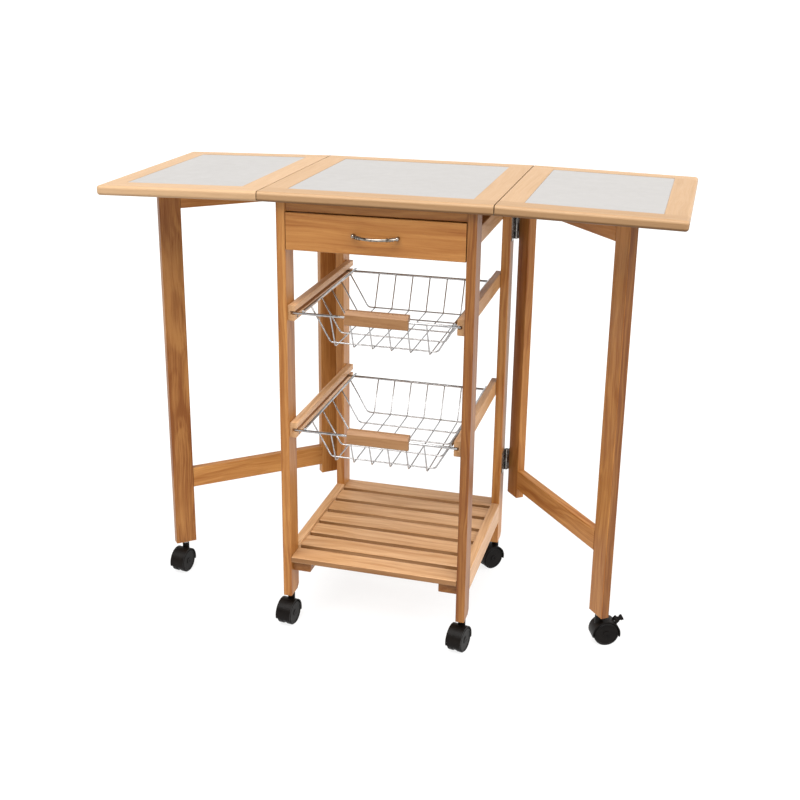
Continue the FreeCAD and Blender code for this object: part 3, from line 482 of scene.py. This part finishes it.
# --------------------------------------------------------------- shape helpers
def mesh_object(name, verts, faces, mat, smooth=True):
    me = bpy.data.meshes.new(name)
    me.from_pydata([tuple(p) for p in verts], [], faces)
    me.validate()
    for p in me.polygons:
        p.use_smooth = smooth
    obj = bpy.data.objects.new(name, me)
    scene.collection.objects.link(obj)
    me.materials.append(mat)
    return obj


def bent(points, radius):
    """A polyline with each inner corner turned into an arc of that radius."""
    pts = [Vector(p) for p in points]
    out = [pts[0]]
    for p, q, r in zip(pts, pts[1:], pts[2:]):
        a, b = (p - q).normalized(), (r - q).normalized()
        angle = a.angle(b)
        if angle > math.pi - 0.02:
            continue
        back = radius / math.tan(angle / 2)
        back = min(back, (p - q).length * 0.48, (r - q).length * 0.48)
        rad = back * math.tan(angle / 2)
        mid = q + (a + b).normalized() * (rad / math.sin(angle / 2))
        s, e = q + a * back - mid, q + b * back - mid
        turn = s.angle(e)
        steps = max(3, int(turn / 0.22))
        for i in range(steps + 1):
            k = i / steps
            v = (s * math.sin((1 - k) * turn) + e * math.sin(k * turn)) / math.sin(turn)
            out.append(mid + v)
    out.append(pts[-1])
    return out


def wire(points, radius, sides=10, closed=False):
    """Vertices and faces of a round wire along a line of points."""
    pts = [Vector(p) for p in points]
    n = len(pts)
    tangents = []
    for i in range(n):
        if closed:
            d = pts[(i + 1) % n] - pts[i - 1]
        else:
            d = pts[min(i + 1, n - 1)] - pts[max(i - 1, 0)]
        tangents.append(d.normalized())
    normal = tangents[0].orthogonal().normalized()
    rings = []
    for i in range(n):
        t = tangents[i]
        normal = (normal - t * normal.dot(t)).normalized()
        side = t.cross(normal)
        rings.append(
            [
                pts[i] + (normal * math.cos(k) + side * math.sin(k)) * radius
                for k in (2 * math.pi * j / sides for j in range(sides))
            ]
        )
    verts, faces = [], []
    if not closed:
        # slightly rounded cut ends
        for end, way, at in ((0, -1, 0), (n - 1, 1, n)):
            c, t = pts[end], tangents[end] * way
            cap = [c + (p - c) * 0.72 + t * radius * 0.32 for p in rings[end if way < 0 else -1]]
            rings.insert(0, cap) if way < 0 else rings.append(cap)
    for ring in rings:
        verts += ring
    count = len(rings)
    for i in range(count if closed else count - 1):
        p, q = i * sides, ((i + 1) % count) * sides
        for j in range(sides):
            k = (j + 1) % sides
            faces.append((p + j, p + k, q + k, q + j))
    if not closed:
        faces.append(tuple(range(sides))[::-1])
        faces.append(tuple(range((count - 1) * sides, count * sides)))
    return verts, faces


def gather(name, parts, mat):
    verts, faces = [], []
    for v, f in parts:
        base = len(verts)
        verts += v
        faces += [tuple(i + base for i in face) for face in f]
    return mesh_object(name, verts, faces, mat)


# --------------------------------------------------------------------- baskets
def basket(which, rim_z):
    """Bent and welded wires: front and back rim wires whose ends run in the
    rail grooves, two side rim wires, five wires across and six lengthwise."""
    z1, z0 = rim_z, rim_z - 0.055
    xo, hx, bx, reach = 0.0048, 0.123, 0.089, 0.137
    y0, y1 = -0.166 + SHIFT, 0.117 + SHIFT
    b0, b1 = -0.1305 + SHIFT, 0.084 + SHIFT
    k0, k1 = b0 - 0.010, b1 + 0.006
    parts = [wire([(-reach, y, z1), (reach, y, z1)], 0.0021, 12) for y in (y0, y1)]
    # the side rim wires lie on top of the front and back ones
    over = z1 + 0.0042
    parts += [wire([(xo + q * hx, y0 - 0.002, over), (xo + q * hx, y1 + 0.002, over)], 0.0021, 12) for q in (-1, 1)]
    for i in range(5):
        y = b0 + (b1 - b0) * i / 4
        path = [(xo - hx, y, over), (xo - bx, y, z0), (xo + bx, y, z0), (xo + hx, y, over)]
        parts.append(wire(bent(path, 0.008), 0.0013))
    low = z0 - 0.0026
    for i in range(6):
        x = xo + 0.0313 * (i - 2.5)
        path = [(x, y0, z1), (x, k0, low), (x, k1, low), (x, y1, z1)]
        parts.append(wire(bent(path, 0.0065), 0.00115))
    obj = gather(which + "_basket_bent_wires", parts, CHROME)
    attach(obj, which + "_basket")
    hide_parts(which + "_basket_wires")


basket("upper", 0.564)
basket("lower", 0.363)


# ----------------------------------------------------------------- screw heads
def screw_head(at, normal, radius, lift=0.0006, spin=0.0):
    """A domed head with a cross recess."""
    n = Vector(normal).normalized()
    u = n.orthogonal().normalized()
    w = n.cross(u)
    at = Vector(at)
    sides = 24
    rows = (1.0, 0.92, 0.72, 0.5, 0.3, 0.12)
    verts, faces = [], []
    for k, share in enumerate(rows):
        for j in range(sides):
            a = 2 * math.pi * j / sides + spin
            h = lift * (1 - share**2) + (0.0 if k else -0.0004)
            arm = abs(math.sin(2 * (a - spin))) < 0.30
            if share <= 0.5 and arm or share <= 0.12:
                h -= lift * 1.1
            verts.append(at + (u * math.cos(a) + w * math.sin(a)) * (radius * share) + n * (h + 0.0002))
    for k in range(len(rows) - 1):
        for j in range(sides):
            i = (j + 1) % sides
            faces.append((k * sides + j, k * sides + i, (k + 1) * sides + i, (k + 1) * sides + j))
    last = (len(rows) - 1) * sides
    faces.append(tuple(last + j for j in range(sides)))
    return verts, faces


def hinge_screws():
    frame_parts, rail_parts, gates = [], [], {"left": [], "right": []}
    rnd = random.Random(7)
    for side, s in (("left", -1), ("right", 1)):
        for z0 in (0.1935, 0.634):
            u = gate_axes(side)
            across = Vector((-u.y, u.x, 0)) * s
            for dy, dw, dz in ((0.0085, 0.0075, 0.0075), (0.0165, 0.0145, 0.0205), (0.0085, 0.0075, 0.0335)):
                frame_parts.append(
                    screw_head(
                        (s * 0.1606, PIN[1] - 0.004 - dy, z0 + dz), (s, 0, 0), 0.0026, spin=rnd.uniform(0, 1.5)
                    )
                )
                at = Vector((s * PIN[0], PIN[1], z0 + dz)) - u * 0.0002 + across * dw
                gates[side].append(screw_head(at, -u, 0.0026, spin=rnd.uniform(0, 1.5)))
        # heads of the screws that hold rails and bearers to the legs
        for x, z, spots in (
            (0.1292, 0.677, (-0.148, 0.145)),
            (0.1322, 0.5562, (-0.155, 0.137)),
            (0.1322, 0.3552, (-0.155, 0.137)),
            (0.1122, 0.11175, (-0.155, 0.145)),
        ):
            for y in spots:
                rail_parts.append(screw_head((s * x, y + SHIFT, z), (-s, 0, 0), 0.003, spin=rnd.uniform(0, 1.5)))
    for name, parts in (("gate_hinge_frame_screws", frame_parts), ("frame_screw_heads", rail_parts)):
        obj = gather(name, parts, STEEL)
        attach(obj, "frame")
    for side, parts in gates.items():
        obj = gather("gate_%s_hinge_screws" % side, parts, STEEL)
        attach(obj, "gate_" + side)


hinge_screws()

# ------------------------------------------------------------------------ stage
t = Tree("pale_floor")
p = t.pos()
speck = t.noise(p, 3.0, 4.0)
t.set(
    Base_Color=t.ramp(speck, (0.3, (0.18, 0.18, 0.18)), (0.7, (0.19, 0.19, 0.19))),
    Roughness=0.9,
    Specular_IOR_Level=0.1,
    Emission_Color=(1.0, 1.0, 1.0),
    Emission_Strength=0.83,
)
floor = mesh_object(
    "floor", [(-60, -60, 0), (60, -60, 0), (60, 60, 0), (-60, 60, 0)], [(0, 1, 2, 3)], t.mat, False
)

# A bright room whose front is dimmer above a white band at the horizon, so that
# metal has something to show.
world = bpy.data.worlds.new("studio")
scene.world = world
world.use_nodes = True
wt = world.node_tree
wt.nodes.clear()
wo = wt.nodes.new("ShaderNodeOutputWorld")
bg = wt.nodes.new("ShaderNodeBackground")
tc = wt.nodes.new("ShaderNodeTexCoord")
sep = wt.nodes.new("ShaderNodeSeparateXYZ")
mr = wt.nodes.new("ShaderNodeMapRange")
mr.inputs[1].default_value, mr.inputs[2].default_value = -0.8, 0.9
mr.inputs[3].default_value, mr.inputs[4].default_value = 0.0, 1.0
rp = wt.nodes.new("ShaderNodeValToRGB")
rp.color_ramp.elements[0].color = (0.07, 0.07, 0.07, 1)
rp.color_ramp.elements[1].color = (0.65, 0.65, 0.65, 1)
wt.links.new(tc.outputs["Generated"], sep.inputs[0])
wt.links.new(sep.outputs["Y"], mr.inputs[0])
wt.links.new(mr.outputs[0], rp.inputs[0])
band = wt.nodes.new("ShaderNodeMapRange")
for i, value in enumerate((0.15, 0.27, 1.0, 0.0), 1):
    band.inputs[i].default_value = value
white = wt.nodes.new("ShaderNodeMix")
white.data_type = "RGBA"
white.inputs[7].default_value = (1.0, 1.0, 1.0, 1)
wt.links.new(sep.outputs["Z"], band.inputs[0])
wt.links.new(band.outputs[0], white.inputs["Factor"])
wt.links.new(rp.outputs["Color"], white.inputs[6])
wt.links.new(white.outputs[2], bg.inputs["Color"])
bg.inputs["Strength"].default_value = 1.0
wt.links.new(bg.outputs[0], wo.inputs["Surface"])


# two wide, soft lights: one from above and the left, one from the right
for name, power, spread, way in (
    ("overhead_panel", 4.3, 52, (0.12, 0.50, -1.0)),
    ("right_panel", 2.9, 60, (-0.92, 0.18, -0.62)),
):
    data = bpy.data.lights.new(name, "SUN")
    data.energy = power
    data.angle = math.radians(spread)
    sun = bpy.data.objects.new(name, data)
    scene.collection.objects.link(sun)
    sun.rotation_euler = Vector(way).to_track_quat("-Z", "Y").to_euler()

scene.view_settings.view_transform = "Standard"
scene.view_settings.look = "None"

# ----------------------------------------------------------------------- camera
YAW, PITCH, ROLL = math.radians(16.844), math.radians(18.759), math.radians(0.065)
right = Vector((math.cos(YAW), math.sin(YAW), 0))
ahead = Vector((-math.sin(YAW) * math.cos(PITCH), math.cos(YAW) * math.cos(PITCH), -math.sin(PITCH)))
up = right.cross(ahead)
right, up = right * math.cos(ROLL) + up * math.sin(ROLL), up * math.cos(ROLL) - right * math.sin(ROLL)
lens = bpy.data.cameras.new("camera")
lens.sensor_fit = "HORIZONTAL"
lens.sensor_width = 36.0
lens.lens = 1192.03 / 800 * 36.0
lens.shift_x, lens.shift_y = 40.94 / 800, -38.0 / 800
lens.clip_end = 300
camera = bpy.data.objects.new("camera", lens)
scene.collection.objects.link(camera)
spot = (0.49397, -1.88227 + SHIFT, 1.10108)
camera.matrix_world = Matrix(
    [[right[i], up[i], -ahead[i], spot[i]] for i in range(3)] + [[0, 0, 0, 1]]
)
scene.camera = camera

bpy.context.view_layer.update()
